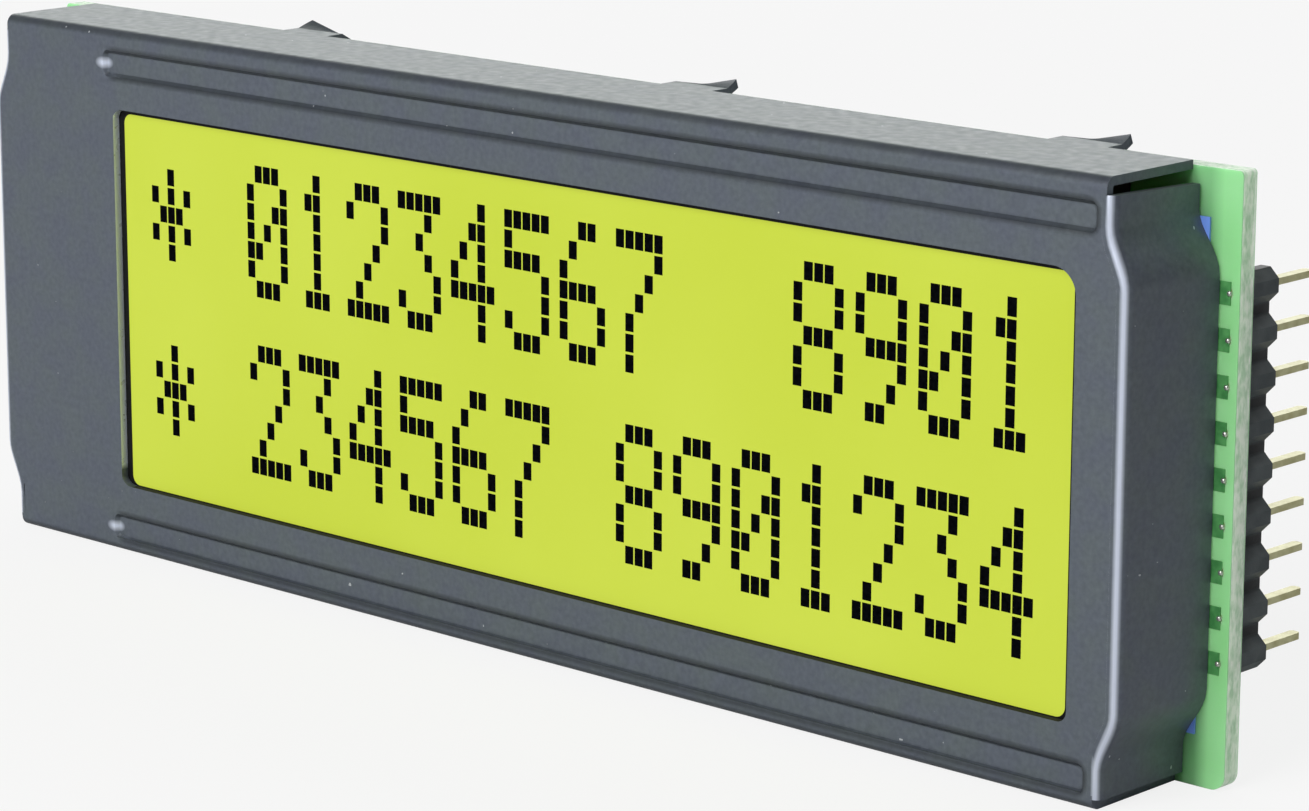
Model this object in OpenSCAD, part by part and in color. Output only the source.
// Character LCD module with two lines of sixteen characters, in millimetres.
// +Z is up and the display faces -Y. The module stands on its long lower edge at Z = 0.
// A folded steel bezel clamps the glass cell, its two conductive rubber strips and the backlight
// against the circuit board: its six tabs pass through notches in the board and are twisted.

/* [Circuit board] */
// Width of the circuit board
board_w = 75.2; // [74:0.2:84]
// Height of the circuit board
board_h = 26.8; // [26.4:0.1:27]
// Thickness of the circuit board
board_t = 1; // [0.8:0.1:1.6]
// Radius of the circuit board's upper corners
board_upper_r = 0.2; // [0.1:0.1:1]
// Radius of the circuit board's lower corners
board_lower_r = 0.7; // [0.1:0.1:1]

/* [Bezel] */
// Width of the board beside the ends of the bezel's side walls
board_margin = 2.1; // [1.8:0.05:2.4]
// Distance from the middle of the board to the middle of the bezel, towards the left
bezel_shift = 0.1; // [0:0.05:0.2]
// Height of the bezel above the circuit board's own height
bezel_rise = 0.2; // [0:0.1:0.6]
// Depth of the bezel from its front face to the circuit board
bezel_depth = 5.9; // [5.4:0.1:8]
// Thickness of the bezel's steel sheet
sheet_t = 0.4; // [0.3:0.05:0.5]
// Inside radius of the folds
fold_r = 0.1; // [0.05:0.05:0.4]
// How far the side walls stand out between their ends
bulge = 0.85; // [0.4:0.05:1.1]
// Height over which a side wall swings out at each of its ends
bulge_ramp = 2.7; // [2:0.1:4]
// Distance from the bezel's top and bottom to the ramps of its side walls
bulge_foot = 2.15; // [1.6:0.05:3]
// Height of the ramps' middle above the bezel's middle
bulge_rise = 0.15; // [0:0.05:0.3]
// How far a side wall leans out from its fold to its rear edge
side_flare = 0.1; // [0:0.05:0.15]
// How much further its swung-out stretch leans out
bulge_flare = 0.3; // [0:0.05:0.3]
// Distance from the outer faces of the side walls' ends to the ends of the long walls
long_wall_inset = 0.35; // [0.1:0.05:0.5]
// Open slot between a side wall's upper end and the wall above it, at the front
upper_gap = 0.35; // [0.2:0.05:0.6]
// Open slot between a side wall's lower end and the wall below it
lower_gap = 0.1; // [0.05:0.05:0.6]
// How much the upper slot widens towards the board
gap_taper = 0.2; // [0:0.05:0.6]

/* [Window] */
// Distance from the bezel's left end to the window
rim_left = 8.95; // [7:0.05:12]
// Distance from the bezel's right end to the window
rim_right = 1.8; // [1.8:0.05:5]
// Distance from the bezel's top to the window
rim_top = 4; // [3.7:0.05:5]
// Distance from the bezel's bottom to the window
rim_bottom = 3.55; // [3.5:0.05:5]
// Radius of the window's corners
window_r = 0.5; // [0.2:0.1:1]
// Radius of the window's top corner on the right
window_top_r = 1.2; // [0.5:0.1:2]

/* [Pressed grooves] */
// Height of each pressed groove
groove_h = 1.35; // [0.8:0.05:1.5]
// Depth of each pressed groove
groove_depth = 0.18; // [0.05:0.01:0.18]
// Distance from the window to each groove
groove_gap = 1.6; // [1.4:0.05:1.7]
// Length of a groove past the window on the left
groove_left = 1.1; // [0.5:0.1:3]
// Length of a groove past the window on the right
groove_right = 1; // [0.2:0.1:1]

/* [Twisted tabs] */
// Width of each tab
tab_w = 3.2; // [2:0.1:4]
// Length of the twisted end behind the circuit board
tab_end = 1.3; // [0.8:0.1:2]
// Twist of the upper tabs, in degrees
tab_twist = 20; // [10:1:35]
// Lean of the upper tabs towards the board, in degrees
tab_lean = 2; // [0:1:25]
// Lean of the lower tabs towards the board, in degrees
lower_tab_lean = 17; // [0:1:35]
// Room around each tab in its notch
tab_clear = 0.15; // [0.05:0.05:0.3]

/* [Glass cell] */
// Thickness of each glass plate
glass_t = 0.7; // [0.5:0.1:1]
// Room between the glass plates and the bezel's side walls
glass_side_clear = 0.75; // [0.6:0.05:1]
// Room between the front glass and the bezel's upper and lower walls
glass_clear = 0.25; // [0.1:0.05:0.4]
// Height of the contact ledges above and below the rear glass
contact_ledge = 1.7; // [1.7:0.05:2]
// Thickness of each polarizing film
polarizer_t = 0.2; // [0.15:0.01:0.25]
// Distance from the rear glass's long edges to the edges of the polarizing films
polarizer_inset = 0.35; // [0.3:0.05:0.8]
// Gap between the glass plates, which the liquid crystal fills
cell_gap = 0.1; // [0.06:0.02:0.2]
// Width of the seal line around the liquid crystal
seal_w = 0.6; // [0.4:0.1:0.8]
// Distance from the edge of the rear glass to the seal line
seal_inset = 0.4; // [0.2:0.1:0.6]
// Length of the plug that closes the filling gap in the seal
plug_l = 3; // [2:0.5:6]

/* [Conductive rubber strips] */
// Thickness of each strip
strip_t = 1.5; // [1.2:0.1:1.6]
// Distance from the ends of the glass to the ends of each strip
strip_inset = 2.4; // [1:0.1:8]
// Room between a strip and the bezel's wall
strip_clear = 0.15; // [0.1:0.05:0.25]

/* [Backlight] */
// How far the backlight reaches past the window at each side
light_lap = 0.85; // [0.4:0.05:1.2]
// Gap between the backlight and the rubber strips
light_gap = 0.75; // [0.6:0.05:1.2]
// Thickness of the diffuser plate
diffuser_t = 0.5; // [0.3:0.1:0.8]
// Thickness of the board that carries the light emitting diodes
led_board_t = 0.5; // [0.3:0.1:0.8]
// Columns of wells in the reflector
well_columns = 8; // [4:1:10]
// Rows of wells in the reflector
well_rows = 2; // [1:1:3]
// Thickness of the reflector's walls
well_wall = 0.8; // [0.5:0.1:1.2]
// Side of each light emitting diode
die_w = 0.8; // [0.4:0.1:1.2]
// Height of each light emitting diode above its board
die_t = 0.3; // [0.2:0.1:0.5]
// Width of each backlight lead
lead_w = 0.8; // [0.5:0.1:1]
// Thickness of each backlight lead
lead_t = 0.3; // [0.2:0.05:0.4]
// Distance from the backlight's left edge to its leads
lead_inset = 2; // [1:0.5:3]
// Length of the leads behind the circuit board
lead_out = 0.6; // [0.3:0.1:1]

/* [Insulating film] */
// Gap between the insulating film and the copper lands
film_side_gap = 0.475; // [0.4:0.025:0.6]
// Gap between the insulating film and the rubber strips
film_gap = 0.25; // [0.1:0.05:0.8]
// Thickness of the insulating film
film_t = 0.1; // [0.05:0.05:0.2]

/* [Pin headers] */
// Number of pins in each header
pin_count = 9; // [7:1:10]
// Distance from pin to pin
pin_pitch = 2; // [2:0.27:2.54]
// Height of the middle of each row of pins above the board's middle
pin_rise = 0.2; // [-0.6:0.1:0.8]
// Distance from the board's edge to the middle of the pins
pin_inset = 0.75; // [0.75:0.05:1]
// Width of a pin
pin_w = 0.5; // [0.4:0.05:0.6]
// Thickness of a pin
pin_t = 0.3; // [0.2:0.05:0.4]
// Length of the pins behind the header
pin_out = 3.2; // [2:0.1:6]
// Width of the header's plastic body
header_w = 1.4; // [1.2:0.1:1.5]
// Depth of the header's plastic body behind the board
header_depth = 1.9; // [1.5:0.1:2.5]
// Height of the neck between two segments of the header
header_neck = 0.5; // [0.2:0.05:0.6]
// Chamfer of the header's segments
header_chamfer = 0.45; // [0.2:0.05:0.5]
// Width of the copper land at each pin
land_w = 0.65; // [0.5:0.05:0.8]
// Height of the copper land at each pin
land_h = 1; // [0.8:0.1:1.2]

/* [Back of the circuit board] */
// Radius of the black resin caps over the chips
cap_r = 5.5; // [4:0.5:6]
// Height of the resin caps
cap_t = 1.2; // [0.8:0.1:1.6]
// Distance from the middle of the board to each resin cap
cap_x = 13; // [10:0.5:16]
// Length of a chip resistor or capacitor
chip_l = 1.6; // [1:0.1:2]
// Width of a chip resistor or capacitor
chip_w = 0.8; // [0.5:0.1:1.2]
// Thickness of a chip resistor
resistor_t = 0.45; // [0.3:0.05:0.6]
// Thickness of a chip capacitor
capacitor_t = 0.8; // [0.6:0.1:1]
// Distance between neighbouring chip parts
chip_pitch = 1.6; // [1.4:0.1:2]

/* [Hidden] */
$fn = 48;

// Depths along Y, from the display's front face to the tips of the pins
total_depth = bezel_depth + board_t + header_depth + pin_out;
y_front = -total_depth / 2;
y_glass = y_front + sheet_t + polarizer_t;
y_cell = y_glass + glass_t;
y_rear_glass = y_cell + cell_gap;
y_rear_film = y_rear_glass + glass_t;
y_diffuser = y_rear_film + polarizer_t;
y_reflector = y_diffuser + diffuser_t;
y_board = y_front + bezel_depth;
y_film = y_board - film_t;
y_led_board = y_film - led_board_t;
y_back = y_board + board_t;
y_header_end = y_back + header_depth;

// The bezel's sizes and places along X and Z
bezel_w = board_w - 2 * board_margin;
bezel_h = board_h + bezel_rise;
bezel_x = -bezel_shift;
bezel_z = bezel_h / 2;
outer_r = fold_r + sheet_t;
upper_end = bezel_z - sheet_t - upper_gap;
lower_end = bezel_z - sheet_t - lower_gap;
ramp_start = bezel_z - bulge_foot;
long_wall_w = bezel_w - 2 * long_wall_inset;
window_w = bezel_w - rim_left - rim_right;
window_h = bezel_h - rim_top - rim_bottom;
window_x = (rim_left - rim_right) / 2;
window_z = (rim_bottom - rim_top) / 2;
window_mid_x = bezel_x + window_x;
window_mid_z = bezel_z + window_z;
tab_places = [-19.1, 6.6, 29.1];
tab_turns = [-1, 1, 1];
lower_tab_share = 0.6;

// Sizes of what the bezel holds
glass_w = bezel_w - 2 * (sheet_t + glass_side_clear);
front_glass_h = bezel_h - 2 * (sheet_t + glass_clear);
rear_glass_h = front_glass_h - 2 * contact_ledge;
polarizer_w = glass_w - 2 * seal_inset;
polarizer_h = rear_glass_h - 2 * polarizer_inset;
strip_l = glass_w - 2 * strip_inset;
strip_edge = sheet_t + strip_clear + strip_t;
light_w = window_w + 2 * light_lap;
light_h = bezel_h - 2 * (strip_edge + light_gap);

// Places and sizes on the board
board_z = board_h / 2;
pin_x = board_w / 2 - pin_inset;
pin_row_z = board_z + pin_rise;
film_w = 2 * (pin_x - land_w / 2 - film_side_gap);
film_h = bezel_h - 2 * (strip_edge + film_gap);
lead_x = window_mid_x - light_w / 2 + lead_inset;

// Small values that shape the solids
land_t = 0.05;
pin_recess = 0.1;
pin_point = 0.12;
hole_clear = 0.1;
slot_clear = 0.01;
press_lap = 0.05;
fold_lap = 0.2;
corner_lap = 0.03;
skin = 0.002;
fold_steps = 5;
ramp_steps = 8;
tab_slices = 5;
tab_start = 0.1;
cut = 1;

// A pin's name, and its place: the first row runs down the right side and the second down the left
function pin_name(i) = str("pin_", i);
function pin_side(i) = i <= pin_count ? 1 : -1;
function pin_z(i) = pin_row_z + pin_pitch * ((pin_count - 1) / 2 - (i - 1) % pin_count);

// A side wall's line: straight at its ends, swung out over each ramp and straight between them
function ramp_share(z) = min(1, max(0, (ramp_start - abs(z - bulge_rise)) / bulge_ramp));
function swing(z) = pow(ramp_share(z), 2) * (3 - 2 * ramp_share(z));
function wall_x(z) = bezel_w / 2 + bulge * swing(z);
function wall_slope(z) =
    -sign(z - bulge_rise) * 6 * bulge / bulge_ramp * ramp_share(z) * (1 - ramp_share(z));
function wall_point(z, out) =
    let (slope = wall_slope(z), n = sqrt(1 + slope * slope))
    [wall_x(z) + out / n, z - out * slope / n];
function ramp_stations(end) =
    [for (i = [0 : ramp_steps]) bulge_rise + end * (ramp_start - bulge_ramp * i / ramp_steps)];
function wall_stations() =
    concat([upper_end], ramp_stations(1), reversed(ramp_stations(-1)), [-lower_end]);

// The section of a side wall at a height, as [distance out from the wall's line, depth]: its
// outer face and then its inner face. A tongue laps into the front plate, and the wall leans out
// to the film.
function flare(z) = side_flare + bulge_flare * swing(z);
function fold_points(r, z) = concat(
    [[-outer_r - fold_lap, outer_r - r + skin * (r > fold_r ? 1 : -1)]],
    [for (i = [0 : fold_steps])
        let (turn = 90 * i / fold_steps, x = i == 0 ? skin * (r > fold_r ? 1 : -1) : 0)
        [r * sin(turn) - outer_r, outer_r - r * cos(turn) + x]],
    [[r - outer_r + flare(z), bezel_depth - film_t]]);
function reversed(list) = [for (i = [len(list) - 1 : -1 : 0]) list[i]];
function wall_section(z) = concat(fold_points(outer_r, z), reversed(fold_points(fold_r, z)));

// Lays a flat shape, drawn in X and Z, at depth y and gives it a thickness towards the back
module plate(y, t) {
    translate([0, y + t, 0])
        rotate([90, 0, 0])
            linear_extrude(height = t)
                children();
}

// A box centred on X and Z at the given place, from depth y towards the back
module slab(w, t, h, x, y, z) {
    translate([x - w / 2, y, z - h / 2])
        cube([w, t, h]);
}

// A rectangle with round corners; each radius belongs to the corner that stands beside it
module rounded(w, h, upper_right, upper_left, lower_left, lower_right) {
    difference() {
        square([w, h], center = true);
        for (corner = [[1, 1, upper_right], [-1, 1, upper_left], [-1, -1, lower_left],
                [1, -1, lower_right]])
            translate([corner[0] * (w / 2 - corner[2]), corner[1] * (h / 2 - corner[2])])
                difference() {
                    translate([corner[0] * corner[2], corner[1] * corner[2]])
                        square(2 * corner[2], center = true);
                    circle(r = corner[2]);
                }
    }
}

// A shallow tray shape with sloping flanks, from y = 0 to its floor, for the pressed grooves
module tray(w, h, r, depth) {
    flank = [[-1, 0], [1, 0], [1 - depth / (h / 2), depth], [-1 + depth / (h / 2), depth]];
    end = [[-1, 0], [1, 0], [1 - depth / (w / 2), depth], [-1 + depth / (w / 2), depth]];
    translate([-(w / 2 - r), 0, 0])
        rotate([90, 0, 90])
            linear_extrude(height = w - 2 * r)
                polygon([for (p = flank) [p[1], p[0] * h / 2]]);
    translate([0, 0, -(h / 2 - r)])
        linear_extrude(height = h - 2 * r)
            polygon([for (p = end) [p[0] * w / 2, p[1]]]);
    for (sx = [-1, 1], sz = [-1, 1])
        translate([sx * (w / 2 - r), 0, sz * (h / 2 - r)])
            rotate([-90, 0, 0])
                cylinder(h = depth, r1 = r, r2 = r - depth);
}

// The two pressed grooves, above and below the window, in the bezel's own frame
module grooves(y, grow, depth) {
    w = window_w + groove_left + groove_right;
    x = window_x + (groove_right - groove_left) / 2;
    for (side = [-1, 1])
        translate([x, y, window_mid_z + side * (window_h / 2 + groove_gap + groove_h / 2)])
            tray(w + 2 * grow, groove_h + 2 * grow, groove_h / 4 + grow, depth);
}

// The front plate without its folds; its sides follow the swung-out walls and its corners
// reach out to the ends of the long walls
module front_outline() {
    corner_x = long_wall_w / 2;
    corner_z = bezel_z - outer_r;
    fold_x = bezel_w / 2 - outer_r - fold_lap / 2;
    upper_z = min(upper_end, corner_z) - corner_lap;
    lower_z = min(lower_end, corner_z) - corner_lap;
    right = concat(
        [[corner_x, corner_z], [corner_x, upper_z], [fold_x, upper_z]],
        [for (z = ramp_stations(1)) wall_point(z, -outer_r - fold_lap / 2)],
        [for (z = reversed(ramp_stations(-1))) wall_point(z, -outer_r - fold_lap / 2)],
        [[fold_x, -lower_z], [corner_x, -lower_z], [corner_x, -corner_z]]);
    polygon(concat(right, [for (p = reversed(right)) [-p[0], p[1]]]));
}

// One side wall, swept along its line as a closed band: 1 is the right side and -1 the left.
// Its upper end slopes down towards the board.
module side_wall(side) {
    stations = side == 1 ? wall_stations() : reversed(wall_stations());
    n = len(wall_section(0));
    last = (len(stations) - 1) * n;
    points = [for (z = stations, p = wall_section(z))
        let (q = wall_point(z, p[0]), drop = z == upper_end ? gap_taper * p[1] / bezel_depth : 0)
        [side * q[0], p[1], q[1] - drop]];
    faces = [for (a = [0 : n : last - n], j = [0 : n - 1])
        let (k = (j + 1) % n)
        each [[a + j, a + k, a + k + n], [a + j, a + k + n, a + j + n]]];
    first_cap = [for (j = [0 : n / 2 - 2]) [j + 1, j, n - 1 - j, n - 2 - j]];
    last_cap = [for (f = first_cap) [for (v = reversed(f)) last + v]];
    translate([0, y_front, bezel_z])
        polyhedron(points = points, faces = concat(faces, first_cap, last_cap), convexity = 6);
}

// The upper wall with its fold and a tongue that laps into the front plate; the lower one is
// its mirror image
module long_wall() {
    translate([-long_wall_w / 2, y_front + outer_r, bezel_h - outer_r])
        rotate([90, 0, 90])
            linear_extrude(height = long_wall_w) {
                intersection() {
                    difference() {
                        circle(r = outer_r);
                        circle(r = fold_r);
                    }
                    translate([-outer_r, 0])
                        square(outer_r);
                }
                translate([0, fold_r])
                    square([bezel_depth - outer_r, sheet_t]);
                translate([skin - outer_r, -fold_lap])
                    square([sheet_t - 2 * skin, fold_lap + skin]);
            }
}

// One tab: straight through its notch in the board, then twisted and leaned towards the board
module tab(twist, lean) {
    slab(tab_w, board_t + tab_start, sheet_t, 0, y_board, 0);
    translate([0, y_back + tab_start / 2, 0])
        rotate([-90 - lean, 0, 0])
            linear_extrude(height = tab_end, twist = twist, slices = tab_slices, $fn = 4)
                square([tab_w, sheet_t], center = true);
}

module bezel() {
    color([0.42, 0.44, 0.48])
        translate([bezel_x, 0, 0]) {
            difference() {
                union() {
                    plate(y_front, sheet_t)
                        translate([0, bezel_z])
                            front_outline();
                    grooves(y_front + sheet_t - press_lap, sheet_t / 2 + press_lap,
                        groove_depth + press_lap);
                }
                plate(y_front - cut, sheet_t + 2 * cut)
                    translate([window_x, window_mid_z])
                        rounded(window_w, window_h, window_top_r, window_r, window_r, window_r);
                grooves(y_front - press_lap, press_lap, groove_depth + press_lap);
            }
            for (side = [-1, 1])
                side_wall(side);
            long_wall();
            translate([0, 0, bezel_h])
                mirror([0, 0, 1])
                    long_wall();
            for (i = [0 : len(tab_places) - 1]) {
                translate([tab_places[i], 0, bezel_h - sheet_t / 2])
                    tab(tab_turns[i] * tab_twist, tab_lean);
                translate([tab_places[i], 0, sheet_t / 2])
                    mirror([0, 0, 1])
                        tab(tab_turns[i] * tab_twist * lower_tab_share, lower_tab_lean);
            }
        }
}

module front_polarizer() {
    color([0.70, 0.78, 0.30, 0.6])
        slab(polarizer_w, polarizer_t, polarizer_h, bezel_x, y_front + sheet_t, window_mid_z);
}

module front_glass() {
    color([0.80, 0.88, 0.80, 0.4])
        slab(glass_w, glass_t, front_glass_h, bezel_x, y_glass, bezel_z);
}

module cell_seal() {
    outer_w = polarizer_w;
    outer_h = rear_glass_h - 2 * seal_inset;
    color([0.20, 0.22, 0.20])
        difference() {
            slab(outer_w, cell_gap, outer_h, bezel_x, y_cell, bezel_z);
            slab(outer_w - 2 * seal_w, cell_gap + 2 * cut, outer_h - 2 * seal_w,
                bezel_x, y_cell - cut, bezel_z);
            slab(4 * seal_w, cell_gap + 2 * cut, plug_l,
                bezel_x - outer_w / 2, y_cell - cut, bezel_z);
        }
}

module fill_plug() {
    color([0.85, 0.80, 0.60])
        slab(seal_inset + seal_w, cell_gap, plug_l,
            bezel_x - (glass_w - seal_inset - seal_w) / 2, y_cell, bezel_z);
}

module rear_glass() {
    color([0.80, 0.88, 0.80, 0.4])
        slab(glass_w, glass_t, rear_glass_h, bezel_x, y_rear_glass, bezel_z);
}

module rear_polarizer() {
    color([0.55, 0.60, 0.50])
        slab(polarizer_w, polarizer_t, polarizer_h, bezel_x, y_rear_film, bezel_z);
}

module conductive_strip(side) {
    color([0.85, 0.55, 0.60])
        slab(strip_l, y_board - y_cell, strip_t, bezel_x, y_cell,
            bezel_z + side * (bezel_z - strip_edge + strip_t / 2));
}

module upper_strip() {
    conductive_strip(1);
}

module lower_strip() {
    conductive_strip(-1);
}

module diffuser_plate() {
    color([0.90, 0.95, 0.70])
        slab(light_w, diffuser_t, light_h, window_mid_x, y_diffuser, bezel_z);
}

module well_grid() {
    step_x = (light_w - well_wall) / well_columns;
    step_z = (light_h - well_wall) / well_rows;
    for (i = [0 : well_columns - 1], j = [0 : well_rows - 1])
        translate([
            window_mid_x - light_w / 2 + well_wall / 2 + step_x * (i + 0.5),
            0,
            bezel_z - light_h / 2 + well_wall / 2 + step_z * (j + 0.5)])
            children();
}

module reflector() {
    depth = y_led_board - y_reflector;
    well_w = (light_w - well_wall) / well_columns - well_wall;
    well_h = (light_h - well_wall) / well_rows - well_wall;
    color([0.95, 0.95, 0.93])
        difference() {
            slab(light_w, depth, light_h, window_mid_x, y_reflector, bezel_z);
            well_grid()
                slab(well_w, depth + 2 * cut, well_h, 0, y_reflector - cut, 0);
        }
}

module led_board() {
    color([0.90, 0.88, 0.75])
        difference() {
            slab(light_w, led_board_t, light_h, window_mid_x, y_led_board, bezel_z);
            lead_places()
                slab(lead_t + 2 * slot_clear, led_board_t + 2 * cut, lead_w + 2 * slot_clear,
                    0, y_led_board - cut, 0);
        }
}

module led_dies() {
    color([0.75, 0.90, 0.20])
        well_grid()
            slab(die_w, die_t, die_w, 0, y_led_board - die_t, 0);
}

module lead_places() {
    for (side = [-1, 1])
        translate([lead_x, 0, bezel_z + side * light_h / 4])
            children();
}

module backlight_leads() {
    color([0.80, 0.80, 0.76])
        lead_places()
            slab(lead_t, y_back + lead_out - y_led_board, lead_w, 0, y_led_board, 0);
}

module insulating_film() {
    color([0.35, 0.50, 0.85])
        difference() {
            slab(film_w, film_t, film_h, 0, y_film, bezel_z);
            lead_places()
                slab(lead_t + 2 * hole_clear, film_t + 2 * cut, lead_w + 2 * hole_clear,
                    0, y_film - cut, 0);
        }
}

// The board, with a notch for each tab, a hole for each pin and a slot for each backlight lead
module circuit_board() {
    notch_top = board_h - bezel_h + sheet_t + tab_clear;
    notch_bottom = sheet_t + tab_clear;
    hole_r = norm([pin_w, pin_t]) / 2 + hole_clear;
    color([0.35, 0.65, 0.42])
        difference() {
            plate(y_board, board_t)
                translate([0, board_z])
                    rounded(board_w, board_h,
                        board_upper_r, board_upper_r, board_lower_r, board_lower_r);
            for (x = tab_places) {
                slab(tab_w + 2 * tab_clear, board_t + 2 * cut, 2 * notch_top,
                    bezel_x + x, y_board - cut, board_h);
                slab(tab_w + 2 * tab_clear, board_t + 2 * cut, 2 * notch_bottom,
                    bezel_x + x, y_board - cut, 0);
            }
            for (i = [1 : 2 * pin_count])
                translate([pin_side(i) * pin_x, y_board - cut, pin_z(i)])
                    rotate([-90, 0, 0])
                        cylinder(h = board_t + 2 * cut, r = hole_r);
            lead_places()
                slab(lead_t + 2 * hole_clear, board_t + 2 * cut, lead_w + 2 * hole_clear,
                    0, y_board - cut, 0);
        }
}

// Flat copper lands under the green lacquer, one over the end of each pin
module lands(side) {
    color([0.15, 0.40, 0.22])
        for (i = [1 : pin_count])
            slab(land_w, land_t, land_h, side * pin_x, y_board - land_t, pin_z(i));
}

module right_lands() {
    lands(1);
}

module left_lands() {
    lands(-1);
}

// One segment of a header: an eight-sided block
module header_segment() {
    half_w = header_w / 2;
    half_h = (pin_pitch - header_neck) / 2;
    c = header_chamfer;
    polygon([
        [half_w, half_h - c], [half_w - c, half_h], [-half_w + c, half_h], [-half_w, half_h - c],
        [-half_w, -half_h + c], [-half_w + c, -half_h], [half_w - c, -half_h],
        [half_w, -half_h + c]]);
}

module header(side) {
    neck_w = header_w - 2 * header_chamfer;
    color([0.16, 0.17, 0.18])
        difference() {
            plate(y_back, header_depth)
                translate([side * pin_x, 0]) {
                    for (i = [1 : pin_count])
                        translate([0, pin_z(i)])
                            header_segment();
                    translate([0, pin_row_z])
                        square([neck_w, (pin_count - 1) * pin_pitch], center = true);
                }
            for (i = [1 : pin_count])
                slab(pin_w + 2 * slot_clear, header_depth + 2 * cut, pin_t + 2 * slot_clear,
                    side * pin_x, y_back - cut, pin_z(i));
        }
}

module right_header() {
    header(1);
}

module left_header() {
    header(-1);
}

// A flat pin with chamfered tips, from just inside the board's front face
module pin(i) {
    start = y_board + pin_recess;
    end = y_header_end + pin_out;
    color([0.80, 0.78, 0.60])
        translate([pin_side(i) * pin_x, 0, pin_z(i) - pin_t / 2])
            linear_extrude(height = pin_t)
                polygon([
                    [-pin_w / 2 + pin_point, start], [pin_w / 2 - pin_point, start],
                    [pin_w / 2, start + pin_point], [pin_w / 2, end - pin_point],
                    [pin_w / 2 - pin_point, end], [-pin_w / 2 + pin_point, end],
                    [-pin_w / 2, end - pin_point], [-pin_w / 2, start + pin_point]]);
}

// A low round cap of black resin, part of a sphere
module resin_cap(side) {
    ball_r = (cap_r * cap_r + cap_t * cap_t) / (2 * cap_t);
    color([0.08, 0.08, 0.09])
        translate([side * cap_x, y_back, board_z])
            rotate([-90, 0, 0])
                rotate_extrude()
                    intersection() {
                        translate([0, cap_t - ball_r])
                            circle(r = ball_r, $fn = 180);
                        square([cap_r + cut, cap_t + cut]);
                    }
}

module controller_cap() {
    resin_cap(-1);
}

module driver_cap() {
    resin_cap(1);
}

// A row of small chip parts across the middle of the board's back
module chip_row(count, t, z) {
    for (i = [0 : count - 1])
        slab(chip_w, t, chip_l, (i - (count - 1) / 2) * chip_pitch, y_back, z);
}

module chip_resistors() {
    color([0.10, 0.10, 0.12])
        chip_row(5, resistor_t, board_z + 1.5 * chip_l);
}

module chip_capacitors() {
    color([0.70, 0.58, 0.42])
        chip_row(2, capacitor_t, board_z - 1.5 * chip_l);
}

bezel();
front_polarizer();
front_glass();
cell_seal();
fill_plug();
rear_glass();
rear_polarizer();
upper_strip();
lower_strip();
diffuser_plate();
reflector();
led_board();
led_dies();
backlight_leads();
insulating_film();
circuit_board();
right_lands();
left_lands();
right_header();
left_header();
controller_cap();
driver_cap();
chip_resistors();
chip_capacitors();
for (i = [1 : 2 * pin_count])
    pin(i);
